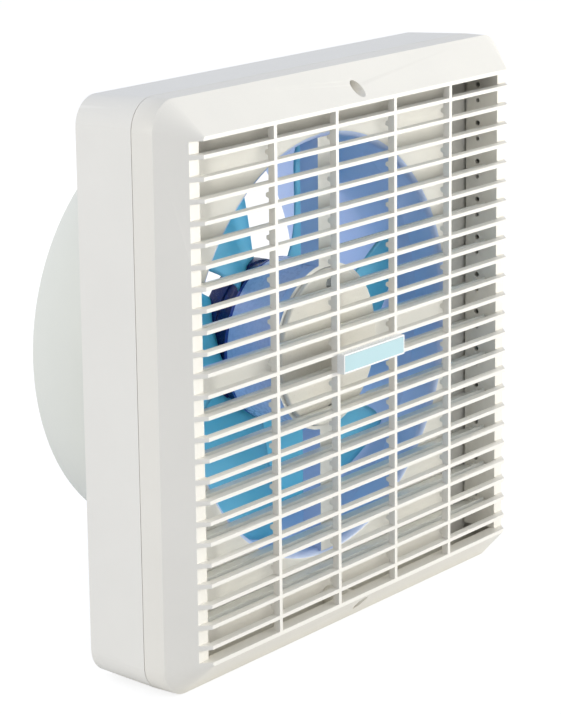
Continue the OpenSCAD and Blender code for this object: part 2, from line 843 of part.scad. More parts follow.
// Laminated ring with six coils wound on its inner teeth
module stator() color("chocolate") stand() {
    depth = stator_front - stator_back;
    difference() {
        union() {
            translate([0, 0, stator_back]) cylinder(depth, r = stator_r, $fn = 96);
            for (a = [0 : 60 : 300])
                rotate(a) translate([rotor_r + coil_out, -coil_w / 2, stator_back - coil_out + coil_sink])
                    cube([coil_w, coil_w, depth + 2 * (coil_out - coil_sink)]);
        }
        translate([0, 0, stator_back - coil_out])
            cylinder(depth + 2 * coil_out, r = rotor_r + air_gap, $fn = 96);
    }
}

module rotor() color("slategray") stand()
    ring(rotor_r, shaft_r + seat_gap, stator_back + rotor_inset, stator_front - rotor_inset);

module shaft() color("silver") stand()
    translate([0, 0, shaft_back]) cylinder(shaft_front - shaft_back, r = shaft_r, $fn = 48);

module bearing_front() color("goldenrod") stand()
    ring(bearing_r, shaft_r + shaft_gap, front_boss_back, front_boss_back + bearing_t - seat_gap);

module bearing_rear() color("goldenrod") stand()
    ring(bearing_r, shaft_r + shaft_gap, rear_boss_front - bearing_t + seat_gap, rear_boss_front);

// ---- Impeller ----

// A blade is a thin curved sheet. u runs from hub to tip and v from trailing to leading edge.
function vane_r(u) = vane_in_r + (tip_r - vane_in_r) * u;
function vane_span(u) = vane_wrap * (1 + 0.1 * u) * (1 - 0.22 * pow(u, 6));
function vane_angle(u, v) = vane_sweep * u + (v - 0.5) * vane_span(u);
function vane_depth(u) = vane_root_depth + (vane_tip_depth - vane_root_depth) * sqrt(u);
function vane_mid(u) = vane_root_z + (vane_tip_z - vane_root_z) * sqrt(u);
function vane_z(u, v) = vane_mid(u) + (v - 0.5) * vane_depth(u)
    + vane_camber * u * (4 * v * (1 - v) - 0.6);
function vane_point(u, v, lift) = [vane_r(u) * cos(vane_angle(u, v)),
    vane_r(u) * sin(vane_angle(u, v)), vane_z(u, v) + lift];

module vane() {
    n = vane_steps;
    row = n + 1;
    sheet = row * row;
    points = [for (lift = [-vane_t / 2, vane_t / 2]) for (i = [0 : n]) for (j = [0 : n])
        vane_point(i / n, j / n, lift)];
    faces = [
        for (i = [0 : n - 1]) for (j = [0 : n - 1]) each let (a = i * row + j)
            [[a, a + row, a + row + 1], [a, a + row + 1, a + 1],
            [sheet + a, sheet + a + row + 1, sheet + a + row],
            [sheet + a, sheet + a + 1, sheet + a + row + 1]],
        for (i = [0 : n - 1]) each let (a = i * row, b = i * row + n)
            [[a, sheet + a, sheet + a + row], [a, sheet + a + row, a + row],
            [b, sheet + b + row, sheet + b], [b, b + row, sheet + b + row]],
        for (j = [0 : n - 1]) each let (a = j, b = n * row + j)
            [[a, sheet + a + 1, sheet + a], [a, a + 1, sheet + a + 1],
            [b, sheet + b, sheet + b + 1], [b, sheet + b + 1, b + 1]]
    ];
    polyhedron(points, faces);
}

module impeller() color("cornflowerblue") stand() {
    difference() {
        union() {
            difference() {
                translate([0, 0, hub_back]) cylinder(hub_front - hub_back, r = hub_r, $fn = 96);
                translate([0, 0, hub_back + hub_floor])
                    cylinder(hub_front - hub_back, r = hub_r - hub_wall, $fn = 96);
            }
            translate([0, 0, hub_back])
                cylinder(hub_front - hub_back - hub_boss_drop, r = hub_boss_r, $fn = 48);
            for (a = [0 : 60 : 300])
                rotate(a) translate([hub_boss_r - 1, -hub_rib_t / 2, hub_back + 1])
                    cube([hub_r - hub_wall - hub_boss_r + 1.5, hub_rib_t, hub_front - hub_back - 6]);
        }
        bore(0, 0, shaft_r + seat_gap, hub_back - past, hub_front + past);
    }
    for (k = [0 : vane_count - 1]) rotate(vane_start + k * 360 / vane_count) vane();
}

module impeller_nut() color("silver") stand()
    difference() {
        translate([0, 0, shaft_back - 1]) cylinder(hub_back - shaft_back + 1, r = nut_r, $fn = 6);
        bore(0, 0, shaft_r + seat_gap, shaft_back, hub_back + past);
    }

// ---- Wiring ----

module motor_lead() color("white") stand()
    translate([motor_r + 0.15, 0, lead_z]) rotate([0, 90, 0])
        cylinder(pocket_x - motor_r - 0.2, r = lead_r, $fn = 32);

module terminal_block() color("beige") stand() {
    difference() {
        translate([pocket_x, -terminal_h / 2, terminal_z])
            cube([terminal_w, terminal_h, terminal_depth]);
        for (k = [-1, 0, 1])
            bore(pocket_x + terminal_w / 2, k * terminal_pitch, terminal_screw_r + 0.05,
                terminal_z - past, terminal_z + terminal_screw_depth + terminal_screw_len);
        for (k = [-1, 1])
            translate([pocket_x - past, k * terminal_pitch / 2 - 0.6, terminal_z - past])
                cube([terminal_w + 2 * past, 1.2, 4 + past]);
    }
}

module terminal_screws() color("silver") stand()
    for (k = [-1, 0, 1])
        translate([pocket_x + terminal_w / 2, k * terminal_pitch, terminal_z + terminal_screw_depth])
            difference() {
                cylinder(terminal_screw_len, r = terminal_screw_r, $fn = 24);
                cube([5, 0.7, 2], center = true);
            }

// Saddle that grips the supply cable behind the panel
module cable_clamp() color("whitesmoke") stand() {
    difference() {
        translate([clamp_x - clamp_w / 2, clamp_y - clamp_d / 2, panel_back - clamp_t])
            cube([clamp_w, clamp_d, clamp_t]);
        translate([clamp_x, clamp_y, panel_back]) rotate([90, 0, 0])
            cylinder(clamp_d + 2 * past, r = 5, $fn = 32, center = true);
        for (k = [-1, 1])
            bore(clamp_x + k * clamp_screw_pitch / 2, clamp_y, clamp_screw_r + seat_gap,
                panel_back - clamp_t - past, panel_back + past);
    }
}

module clamp_screws() color("silver") stand()
    for (k = [-1, 1])
        translate([clamp_x + k * clamp_screw_pitch / 2, clamp_y, panel_back - clamp_t]) mirror([0, 0, 1])
            pan_screw(0, 0, 0, clamp_head_r, clamp_head_t, clamp_screw_r, clamp_t - 0.5);

base_frame();
duct_sleeve();
duct_seal();
front_cover();
cover_screws();
badge_holder();
badge_plate();
shutter_rail_left();
shutter_rail_right();
shutter_blade(1);  // shutter_01
shutter_blade(2);  // shutter_02
shutter_blade(3);  // shutter_03
shutter_blade(4);  // shutter_04
shutter_blade(5);  // shutter_05
shutter_blade(6);  // shutter_06
shutter_blade(7);  // shutter_07
shutter_blade(8);  // shutter_08
shutter_blade(9);  // shutter_09
shutter_blade(10);  // shutter_10
shutter_blade(11);  // shutter_11
shutter_blade(12);  // shutter_12
link_bar();
actuator_body();
actuator_plunger();
actuator_clip();
motor_cap();
motor_screws();
motor_housing();
motor_rear_cover();
stator();
rotor();
shaft();
bearing_front();
bearing_rear();
impeller();
impeller_nut();
motor_lead();
terminal_block();
terminal_screws();
cable_clamp();
clamp_screws();
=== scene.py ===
"""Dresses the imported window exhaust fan: finishes, the moulded impeller, soft pieces, light and camera."""

import math

import bmesh
import bpy
from bpy.props import FloatProperty, FloatVectorProperty, IntProperty, PointerProperty
from mathutils import Matrix, Vector


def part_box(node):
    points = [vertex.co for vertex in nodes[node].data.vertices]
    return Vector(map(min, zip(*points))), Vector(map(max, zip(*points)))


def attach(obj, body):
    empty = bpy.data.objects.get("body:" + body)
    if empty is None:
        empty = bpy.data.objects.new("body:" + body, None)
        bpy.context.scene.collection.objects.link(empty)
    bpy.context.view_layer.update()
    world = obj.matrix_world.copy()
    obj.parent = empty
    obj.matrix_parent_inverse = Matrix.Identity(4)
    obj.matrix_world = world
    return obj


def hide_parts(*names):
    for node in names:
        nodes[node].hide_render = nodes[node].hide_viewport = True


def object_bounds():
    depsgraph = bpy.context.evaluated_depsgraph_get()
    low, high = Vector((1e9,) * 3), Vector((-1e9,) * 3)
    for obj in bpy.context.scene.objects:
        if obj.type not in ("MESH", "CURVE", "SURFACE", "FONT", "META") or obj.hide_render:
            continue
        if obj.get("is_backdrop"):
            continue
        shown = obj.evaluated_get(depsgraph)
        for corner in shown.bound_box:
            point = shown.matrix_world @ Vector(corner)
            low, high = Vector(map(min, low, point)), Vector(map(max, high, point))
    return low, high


bl_info = {
    "name": "Window Exhaust Fan",
    "version": (1, 0, 0),
    "blender": (4, 5, 0),
    "location": "View3D > Sidebar > Window Fan",
    "description": "Finishes, details and studio for a wall-mounted exhaust fan with a louvre grille",
    "category": "Object",
}

MM = 0.001
TURN = 2 * math.pi

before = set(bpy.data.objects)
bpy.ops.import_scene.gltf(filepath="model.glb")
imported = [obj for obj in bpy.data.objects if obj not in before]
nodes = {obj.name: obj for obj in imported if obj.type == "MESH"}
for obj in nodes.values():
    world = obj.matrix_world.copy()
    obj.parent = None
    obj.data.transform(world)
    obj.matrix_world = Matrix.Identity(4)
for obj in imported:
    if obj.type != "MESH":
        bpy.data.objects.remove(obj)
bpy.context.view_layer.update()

BLADES = tuple(f"shutter_{i:02d}" for i in range(1, 13))

# On the CAD nodes, points closer than this are one, and edges sharper than this are rounded
WELD_GAP = 0.001 * MM
SHARP = math.radians(40)


def srgb(code):
    """A hex colour as written on screen, turned to linear RGB."""
    channels = [int(code[i:i + 2], 16) / 255 for i in (1, 3, 5)]
    return tuple(c / 12.92 if c <= 0.04045 else ((c + 0.055) / 1.055) ** 2.4 for c in channels)


def per_mm(size_mm):
    """The texture scale that gives a pattern of this size, for coordinates in metres."""
    return 1000 / size_mm


def rgba(colour, gain=1.0):
    """A linear colour with alpha, made lighter or darker by the gain."""
    return (*[min(1, c * gain) for c in colour], 1)


# ---------------------------------------------------------------- properties

def colour_prop(name, description, code):
    return FloatVectorProperty(name=name, description=description, subtype="COLOR", size=3,
                               min=0, max=1, default=srgb(code))


def length_prop(name, description, default_mm):
    return FloatProperty(name=name, description=description, subtype="DISTANCE", unit="LENGTH",
                         default=default_mm * MM)


class FanColours(bpy.types.PropertyGroup):
    """Colours of the fan's finishes."""

    body: colour_prop("Body", "Cream ABS of the cover, rails and cap", "#F4F0E6")
    base: colour_prop("Base", "Paler ABS of the base moulding behind the cover", "#F5F2EA")
    shutter: colour_prop("Shutter", "White polypropylene of the blades and link bar", "#F4F4EE")
    # The duct's blue is painted blue light, standing in for the bluish light inside the duct; the plastic there
    # is pale
    duct: colour_prop("Duct lining", "Blue ABS inside the duct and round the motor's arms", "#CDDDFF")
    sleeve: colour_prop("Sleeve", "Pale ABS of the duct sleeve's outside", "#EEEFE6")
    vane: colour_prop("Impeller blades", "Sky blue polypropylene", "#A0D4F2")
    vane_glow: colour_prop("Impeller glow", "Colour of the light that passes through the blades", "#8EEAEE")
    hub: colour_prop("Hub", "Navy polypropylene of the impeller's hub", "#16245C")
    # The can's colour is partly its own pale enamel and partly painted blue light from the bluish light inside
    # the duct
    motor: colour_prop("Motor", "Light blue enamel of the motor can", "#D4DDFB")
    rear: colour_prop("Motor rear", "Navy enamel of the motor's rear cover", "#3A4A9C")
    badge: colour_prop("Badge", "White ABS round the badge's face", "#FBFBF8")
    badge_face: colour_prop("Badge face", "Pale cyan foil of the blank badge", "#C0DFE2")


class FanSizes(bpy.types.PropertyGroup):
    """Sizes of the impeller, the edges' rounding and the camera's lens."""

    hub_radius: length_prop("Hub radius", "Outer radius of the impeller's hub", 41.5)
    hub_wall: length_prop("Hub wall", "Thickness of the hub's side wall", 2.2)
    vane_thickness: length_prop("Blade thickness", "Thickness of an impeller blade", 2.2)
    tip_radius: length_prop("Tip radius", "Radius of the impeller over its blade tips", 110.3)
    vane_count: IntProperty(name="Blades", description="Number of impeller blades", default=6, min=3, max=9)
    edge_round: length_prop("Edge rounding", "Rounding of the mouldings' edges", 0.25)
    lens: FloatProperty(name="Lens", description="Focal length of the camera", default=137.57,
                        subtype="DISTANCE_CAMERA")


def colours():
    return bpy.context.scene.fan_colours


def sizes():
    return bpy.context.scene.fan_sizes


# ---------------------------------------------------------------- node and mesh helpers

def add(tree, kind, inputs=None, **settings):
    """Adds a node, sets its properties and fills or links its input sockets."""
    node = tree.nodes.new(kind)
    for name, value in settings.items():
        setattr(node, name, value)
    for socket, value in (inputs or {}).items():
        if isinstance(value, bpy.types.NodeSocket):
            tree.links.new(value, node.inputs[socket])
        else:
            node.inputs[socket].default_value = value
    return node


def new_material(name):
    """An empty material, with its node tree and its output node."""
    material = bpy.data.materials.new(name)
    material.use_nodes = True
    tree = material.node_tree
    tree.nodes.clear()
    return material, tree, add(tree, "ShaderNodeOutputMaterial")


def noise(tree, place, size_mm, detail=2, **stretch):
    """Noise whose blobs are about size_mm across; stretch gives other sizes along x, y or z."""
    scale = [per_mm(stretch.get(axis, size_mm)) for axis in "xyz"]
    spread = add(tree, "ShaderNodeVectorMath", {0: place, 1: scale}, operation="MULTIPLY")
    inputs = {"Vector": spread.outputs[0], "Scale": 1, "Detail": detail}
    return add(tree, "ShaderNodeTexNoise", inputs).outputs["Fac"]


def spread_over(tree, value, low, high, start=0.3, end=0.7):
    """Maps a value from start..end, where most of a noise lies, to low..high."""
    inputs = {"Value": value, "From Min": start, "From Max": end, "To Min": low, "To Max": high}
    return add(tree, "ShaderNodeMapRange", inputs).outputs["Result"]


def two_tone(tree, factor, first, second):
    """The first colour where the factor is 0, and the second where it is 1."""
    inputs = {"Factor": factor, "A": first, "B": second}
    return add(tree, "ShaderNodeMix", inputs, data_type="RGBA").outputs["Result"]


def surface(tree, output, base, roughness, height=None, depth_mm=0.02, **constants):
    """The Principled shader with linked colour, roughness and bump; constants go straight on its sockets."""
    inputs = {"Base Color": base, "Roughness": roughness}
    if height is not None:
        bump = add(tree, "ShaderNodeBump", {"Height": height, "Distance": depth_mm * MM})
        inputs["Normal"] = bump.outputs["Normal"]
    inputs.update({name.replace("_", " "): value for name, value in constants.items()})
    shader = add(tree, "ShaderNodeBsdfPrincipled", inputs)
    tree.links.new(shader.outputs["BSDF"], output.inputs["Surface"])
    return shader


def use(material, *names, rounded=True):
    """Gives CAD nodes a material, and a narrow rounding along their sharp edges."""
    for name in names:
        node = nodes[name]
        node.data.materials.clear()
        node.data.materials.append(material)
        if rounded:
            weld = node.modifiers.new("weld", "WELD")
            weld.merge_threshold = WELD_GAP
            bevel = node.modifiers.new("rounding", "BEVEL")
            bevel.width = sizes().edge_round
            bevel.segments = 2
            bevel.limit_method = "ANGLE"
            bevel.angle_limit = SHARP


def piece(name, mesh_data, material, body, slot, *replaced):
    """Links a finished mesh as a piece of the fan that rides on a body and stands for CAD nodes."""
    mesh = bpy.data.meshes.new(name)
    mesh_data.normal_update()
    mesh_data.to_mesh(mesh)
    mesh_data.free()
    mesh.materials.append(material)
    mesh.shade_smooth()
    made = bpy.data.objects.new(name, mesh)
    bpy.context.scene.collection.objects.link(made)
    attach(made, body)
    if replaced:
        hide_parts(*replaced)
    return made


def join(mesh, here, there):
    """Faces between two closed loops of as many points."""
    count = len(here)
    for j in range(count):
        n = (j + 1) % count
        mesh.faces.new((here[j], here[n], there[n], there[j]))


def skin(mesh, loops):
    """Faces along a row of closed loops, and over both ends."""
    for here, there in zip(loops, loops[1:]):
        join(mesh, here, there)
    mesh.faces.new(loops[0])
    mesh.faces.new(loops[-1][::-1])


def lathe(mesh, profile, steps=96):
    """Turns a closed profile of (radius, y) round the Y axis."""
    rings = []
    for k in range(steps):
        turn = TURN * k / steps
        rings.append([mesh.verts.new((r * math.cos(turn), y, r * math.sin(turn))) for r, y in profile])
    for k in range(steps):
        join(mesh, rings[k], rings[(k + 1) % steps])


def rounded_profile(corners, radius, steps=4):
    """Rounds each corner of a closed profile."""
    # A corner takes less than half of each edge beside it, so that two roundings never meet
    parts = 2.2
    points = []
    count = len(corners)
    for k in range(count):
        before, here, after = (Vector(corners[(k + d) % count]) for d in (-1, 0, 1))
        reach = min(radius, (before - here).length / parts, (after - here).length / parts)
        start = here + (before - here).normalized() * reach
        end = here + (after - here).normalized() * reach
        for s in range(steps + 1):
            t = s / steps
            point = start * (1 - t) ** 2 + here * 2 * t * (1 - t) + end * t ** 2
            points.append((point.x, point.y))
    return points


# ---------------------------------------------------------------- materials

def moulded(name, colour, roughness=0.36, grain_mm=0.7, grain_depth=0.012, cloud_mm=45, **constants):
    """Injection-moulded plastic. Flow clouds a few centimetres wide shift the colour by a trace, and the
    spark-eroded mould leaves a grain that softens the gloss unevenly."""
    material, tree, output = new_material(name)
    place = add(tree, "ShaderNodeTexCoord").outputs["Object"]
    # The real grain is about 0.05 mm and wouldn't show, so it is drawn as wide as grain_mm
    grain = noise(tree, place, grain_mm)
    flow = noise(tree, place, cloud_mm, detail=3)
    tint = two_tone(tree, flow, rgba(colour, 0.965), rgba(colour, 1.03))
    gloss = spread_over(tree, grain, roughness - 0.04, roughness + 0.08)
    # ABS and nylon have about this IOR; polypropylene is given its own
    surface(tree, output, tint, gloss, grain, grain_depth, IOR=constants.pop("IOR", 1.53), **constants)
    return material


def paint_light_within(material, colour, radius_mm, front_mm=None):
    """Paints another colour onto a moulding within a radius of the duct's axis, and behind a depth if one is
    given: here a painted blue light that stands in for the bluish light inside the duct.
    """
    tree = material.node_tree
    shader = next(n for n in tree.nodes if n.type == "BSDF_PRINCIPLED")
    outside = shader.inputs["Base Color"].links[0].from_socket
    axes = add(tree, "ShaderNodeSeparateXYZ", {"Vector": add(tree, "ShaderNodeTexCoord").outputs["Object"]})
    flat = add(tree, "ShaderNodeCombineXYZ", {"X": axes.outputs["X"], "Z": axes.outputs["Z"]})
    radius = add(tree, "ShaderNodeVectorMath", {0: flat.outputs["Vector"]}, operation="LENGTH")
    blue_light_zone = add(tree, "ShaderNodeMath", {0: radius.outputs["Value"], 1: radius_mm * MM}, operation="LESS_THAN")
    if front_mm is not None:
        behind = add(tree, "ShaderNodeMath", {0: axes.outputs["Y"], 1: front_mm * MM}, operation="GREATER_THAN")
        blue_light_zone = add(tree, "ShaderNodeMath", {0: blue_light_zone.outputs[0], 1: behind.outputs[0]}, operation="MULTIPLY")
    # Within this zone the moulding's own colour gives way to painted blue light
    tree.links.new(two_tone(tree, blue_light_zone.outputs[0], outside, rgba(colour)), shader.inputs["Base Color"])
    return material


def cream_with_painted_blue_light(name, cream, blue):
    """The base moulding: cream ABS outside, and in the duct and on the sides of the motor's arms a painted blue
    light that stands in for the bluish light falling there. The eye sees one moulding with a crisp colour break
    along the inlet's rounded edge."""
    # On the inlet's rounding, close to where it runs out into the panel, and just behind the panel's front face
    return paint_light_within(moulded(name, cream), blue, radius_mm=115.9, front_mm=-40.45)


def sleeve_plastic(name, outside, blue):
    """The duct sleeve: pale ABS outside, and inside it a painted blue light that stands in for the bluish light
    in the duct. The eye sees a pale rim round a painted blue bore.
    """
    # Within the sleeve's wall, between its bore and its outer face
    return paint_light_within(moulded(name, outside, roughness=0.4), blue, radius_mm=113.2)


def translucent_plastic(name, colour, lit_through):
    """Thin unfilled polypropylene, moulded: satin, and light from behind glows through it."""
    material, tree, output = new_material(name)
    place = add(tree, "ShaderNodeTexCoord").outputs["Object"]
    # As on the other mouldings, the real grain of 0.05 mm is drawn at 0.9 mm to show
    grain = noise(tree, place, 0.9)
    flow = noise(tree, place, 30, detail=3)
    tint = two_tone(tree, flow, rgba(colour, 0.94), rgba(colour, 1.04))
    gloss = spread_over(tree, grain, 0.3, 0.42)
    shader = surface(tree, output, tint, gloss, grain, 0.01, IOR=1.49)
    glow = add(tree, "ShaderNodeBsdfTranslucent", {"Color": rgba(lit_through)})
    glow_share = 0.45
    mix = add(tree, "ShaderNodeMixShader", {0: glow_share, 1: shader.outputs["BSDF"], 2: glow.outputs[0]})
    tree.links.new(mix.outputs[0], output.inputs["Surface"])
    return material


def enamel(name, colour):
    """Stoving enamel sprayed on drawn steel: orange peel about 2 mm wide under an even gloss."""
    material, tree, output = new_material(name)
    place = add(tree, "ShaderNodeTexCoord").outputs["Object"]
    peel = noise(tree, place, 2.2, detail=1)
    mottle = noise(tree, place, 26, detail=3)
    tint = two_tone(tree, mottle, rgba(colour, 0.98), rgba(colour, 1.02))
    gloss = spread_over(tree, peel, 0.24, 0.32)
    surface(tree, output, tint, gloss, peel, 0.012, IOR=1.5, Coat_Weight=0.3, Coat_Roughness=0.12)
    return material


def worked_metal(name, colour, roughness, across_mm, along_mm, stain=0.12):
    """Bare or plated metal. Tool marks run round the axis, and the tone is patchy by a trace."""
    material, tree, output = new_material(name)
    place = add(tree, "ShaderNodeTexCoord").outputs["Object"]
    # Real marks are 0.02 to 0.1 mm apart and wouldn't show, so they are drawn as wide as across_mm
    marks = noise(tree, place, along_mm, y=across_mm)
    patches = noise(tree, place, 3.5, detail=4)
    tint = two_tone(tree, patches, rgba(colour, 1 - stain), rgba(colour, 1 + stain / 2))
    gloss = spread_over(tree, marks, roughness - 0.08, roughness + 0.12)
    surface(tree, output, tint, gloss, marks, 0.008, Metallic=1.0)
    return material


def porous(name, colour, pore_mm, roughness, metallic=0.0):
    """Sintered bronze or open foam: small dark pores all over a dull surface."""
    material, tree, output = new_material(name)
    place = add(tree, "ShaderNodeTexCoord").outputs["Object"]
    # Real pores are 0.05 mm in the bronze and 0.4 mm in the foam, and are drawn as wide as pore_mm to show
    cells = add(tree, "ShaderNodeTexVoronoi", {"Vector": place, "Scale": per_mm(pore_mm)}).outputs["Distance"]
    soft = noise(tree, place, 12, detail=4)
    holes = spread_over(tree, cells, 0.35, 1.0, start=0.05, end=0.4)
    tone = two_tone(tree, soft, rgba(colour, 0.85), rgba(colour, 1.15))
    tint = two_tone(tree, holes, rgba(colour, 0.45), tone)
    gloss = spread_over(tree, cells, roughness, roughness - 0.15)
    pore_depth = 0.25 * pore_mm
    surface(tree, output, tint, gloss, holes, pore_depth, Metallic=metallic)
    return material


def laminated(name, steel, ends):
    """A stack of punched 0.5 mm electrical steel sheets. The eye sees fine stripes, between end turns of
    enamelled copper on the stator and cast rings on the rotor."""
    material, tree, output = new_material(name)
    place = add(tree, "ShaderNodeTexCoord").outputs["Object"]
    depth = add(tree, "ShaderNodeSeparateXYZ", {"Vector": place}).outputs["Y"]
    sheets = add(tree, "ShaderNodeMath", {0: depth, 1: per_mm(0.5)}, operation="MULTIPLY").outputs[0]
    edge = add(tree, "ShaderNodeMath", {0: sheets}, operation="FRACT").outputs[0]
    spots = noise(tree, place, 4, detail=4)
    iron = two_tone(tree, spots, rgba(steel, 0.75), rgba(steel, 1.2))
    low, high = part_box("stator")
    end_depth = 2.6 * MM
    front = add(tree, "ShaderNodeMath", {0: depth, 1: low[1] + end_depth}, operation="LESS_THAN").outputs[0]
    back = add(tree, "ShaderNodeMath", {0: depth, 1: high[1] - end_depth}, operation="GREATER_THAN").outputs[0]
    at_end = add(tree, "ShaderNodeMath", {0: front, 1: back}, operation="MAXIMUM").outputs[0]
    tint = two_tone(tree, at_end, iron, rgba(ends))
    surface(tree, output, tint, spread_over(tree, spots, 0.35, 0.5), edge, 0.04, Metallic=0.8)
    return material


def braided(name, colour):
    """Glass-fibre sleeving, braided: a dull tube on which two sets of yarn cross."""
    material, tree, output = new_material(name)
    place = add(tree, "ShaderNodeTexCoord").outputs["Object"]
    # A wave repeats every 0.31 units along Y and 0.36 across the diagonal, so these yarns lie 1.6 and 2.2 mm
    # apart. Real ones lie 0.5 mm apart and wouldn't show
    waves = [add(tree, "ShaderNodeTexWave", {"Vector": place, "Scale": per_mm(size_mm)},
                 bands_direction=direction).outputs["Fac"] for direction, size_mm in (("DIAGONAL", 6), ("Y", 5))]
    weave = add(tree, "ShaderNodeMath", {0: waves[0], 1: waves[1]}, operation="MULTIPLY").outputs[0]
    tint = two_tone(tree, weave, rgba(colour, 0.7), rgba(colour))
    gloss = spread_over(tree, weave, 0.6, 0.8, start=0, end=1)
    surface(tree, output, tint, gloss, weave, 0.2)
    return material


# ---------------------------------------------------------------- operators

class FanOperator:
    """What all the operators share."""

    bl_options = {"REGISTER", "UNDO"}


class FAN_OT_body(FanOperator, bpy.types.Operator):
    """Finish the base, duct sleeve, cover and rails, and model the foam seal"""

    bl_idname = "fan.body"
    bl_label = "Body"

    # The foam seal in mm: its width, how far its sides and faces swell, and its edges' rounding
    SEAL_WIDTH, SIDE_SWELL, FACE_SWELL, SEAL_ROUND = 9, 0.35, 0.1, 0.6

    def execute(self, context):
        chosen = colours()
        use(moulded("ABS cream moulded", chosen.body), "front_cover")
        use(moulded("ABS cream rail moulded", chosen.body, roughness=0.42), "shutter_rail_left",
            "shutter_rail_right", rounded=False)
        # The blue inside the base and inside the sleeve is painted blue light, not a second plastic
        use(cream_with_painted_blue_light("ABS cream moulded with painted blue light", chosen.base, chosen.duct), "base_frame")
        use(sleeve_plastic("ABS sleeve moulded with painted blue light", chosen.sleeve, chosen.duct), "duct_sleeve")
        self.seal()
        return {"FINISHED"}

    def seal(self):
        """A cut foam ring whose faces swell a little between its cut edges."""
        low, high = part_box("duct_seal")
        outer = high[0]
        inner = outer - self.SEAL_WIDTH * MM
        crown = self.FACE_SWELL * MM
        swell = self.SIDE_SWELL * MM
        near, far = high[1] - crown, low[1] + crown
        across, along = (inner + outer) / 2, (near + far) / 2
        profile = [(inner, near), (across, near + crown), (outer - swell, near), (outer, along),
                   (outer - swell, far), (across, far - crown), (inner, far)]
        mesh = bmesh.new()
        lathe(mesh, rounded_profile(profile, self.SEAL_ROUND * MM, 2))
        foam = porous("Polyurethane foam charcoal", srgb("#46464A"), 0.7, 0.95)
        piece("seal_foam", mesh, foam, "frame", "seal_foam", "duct_seal")


class FAN_OT_shutters(FanOperator, bpy.types.Operator):
    """Finish the shutter blades, their link bar and the thermal actuator"""

    bl_idname = "fan.shutters"
    bl_label = "Shutter"

    def execute(self, context):
        white = moulded("Polypropylene white moulded", colours().shutter, roughness=0.4, IOR=1.49)
        use(white, "link_bar", *BLADES, rounded=False)
        use(worked_metal("Brass turned", srgb("#D0AC62"), 0.28, 0.3, 6), "actuator_body")
        use(worked_metal("Spring steel tumbled", srgb("#B8BABF"), 0.36, 1.2, 1.2), "actuator_clip")
        use(worked_metal("Steel rod ground", srgb("#C8CACD"), 0.22, 0.2, 4), "actuator_plunger")
        return {"FINISHED"}


class FAN_OT_motor(FanOperator, bpy.types.Operator):
    """Finish the motor, its cap, screws and bearings"""

    bl_idname = "fan.motor"
    bl_label = "Motor"

    def execute(self, context):
        # The can's enamel is tinted with painted blue light, like the inside of the duct
        use(enamel("Stoving enamel with painted blue light on drawn steel", colours().motor), "motor_housing")
        use(enamel("Stoving enamel navy on drawn steel", colours().rear), "motor_rear_cover")
        use(moulded("ABS cap moulded", colours().body, roughness=0.3), "motor_cap")
        plated = worked_metal("Steel zinc plated", srgb("#BFC1C4"), 0.3, 0.6, 0.6)
        use(plated, "cover_screws", "motor_screws", "impeller_nut")
        use(worked_metal("Steel shaft ground", srgb("#C9CBCE"), 0.18, 0.15, 5, stain=0.05), "shaft")
        use(porous("Bronze sintered", srgb("#B5894E"), 0.35, 0.5, metallic=1.0), "bearing_front", "bearing_rear")
        use(laminated("Electrical steel laminated", srgb("#77797D"), srgb("#A4512B")), "stator", rounded=False)
        use(laminated("Rotor steel laminated", srgb("#8A8C90"), srgb("#B9BCC0")), "rotor", rounded=False)
        return {"FINISHED"}


class FAN_OT_wiring(FanOperator, bpy.types.Operator):
    """Finish the terminals and clamp, and model the sleeved motor lead"""

    bl_idname = "fan.wiring"
    bl_label = "Wiring"

    # The sleeve's radius, in shares of the CAD lead's: at its ends, what its middle adds, and its ripples
    AT_ENDS, BELLY, RIPPLE, HALF_RIPPLES = 0.86, 0.1, 0.03, 14

    def execute(self, context):
        nylon = moulded("Nylon natural moulded", srgb("#E6E1D2"), roughness=0.48, grain_mm=1.2)
        use(nylon, "terminal_block", "cable_clamp")
        nickel = worked_metal("Brass screw nickel plated", srgb("#C6C2B4"), 0.3, 0.4, 0.8)
        use(nickel, "terminal_screws", "clamp_screws")
        self.lead()
        return {"FINISHED"}

    def lead(self):
        """The braided sleeve over the motor's wires, with a slight swell between its two ends."""
        low, high = (Vector(corner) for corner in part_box("motor_lead"))
        centre = (low + high) / 2
        radius = (high.y - low.y) / 2
        length = high.x - low.x
        around, along = 24, 30
        mesh = bmesh.new()
        rings = []
        for k in range(along + 1):
            t = k / along
            swell = radius * (self.AT_ENDS + self.BELLY * math.sin(math.pi * t)
                              + self.RIPPLE * math.sin(self.HALF_RIPPLES * math.pi * t))
            turns = [TURN * j / around for j in range(around)]
            rings.append([mesh.verts.new((low.x + length * t, centre.y + swell * math.cos(turn),
                                          centre.z + swell * math.sin(turn))) for turn in turns])
        skin(mesh, rings)
        bmesh.ops.recalc_face_normals(mesh, faces=mesh.faces)
        sleeving = braided("Glass sleeving braided", srgb("#E8E6DF"))
        piece("lead_sleeving", mesh, sleeving, "frame", "lead_sleeve", "motor_lead")


class FAN_OT_badge(FanOperator, bpy.types.Operator):
    """Finish the blank badge"""

    bl_idname = "fan.badge"
    bl_label = "Badge"

    def execute(self, context):
        use(moulded("ABS badge moulded", colours().badge, roughness=0.25, grain_mm=0.4), "badge_holder")
        foil = moulded("Polyester foil gloss printed", colours().badge_face, roughness=0.16, grain_mm=0.3,
                       grain_depth=0.004, cloud_mm=18, IOR=1.58)
        use(foil, "badge_plate", rounded=False)
        return {"FINISHED"}


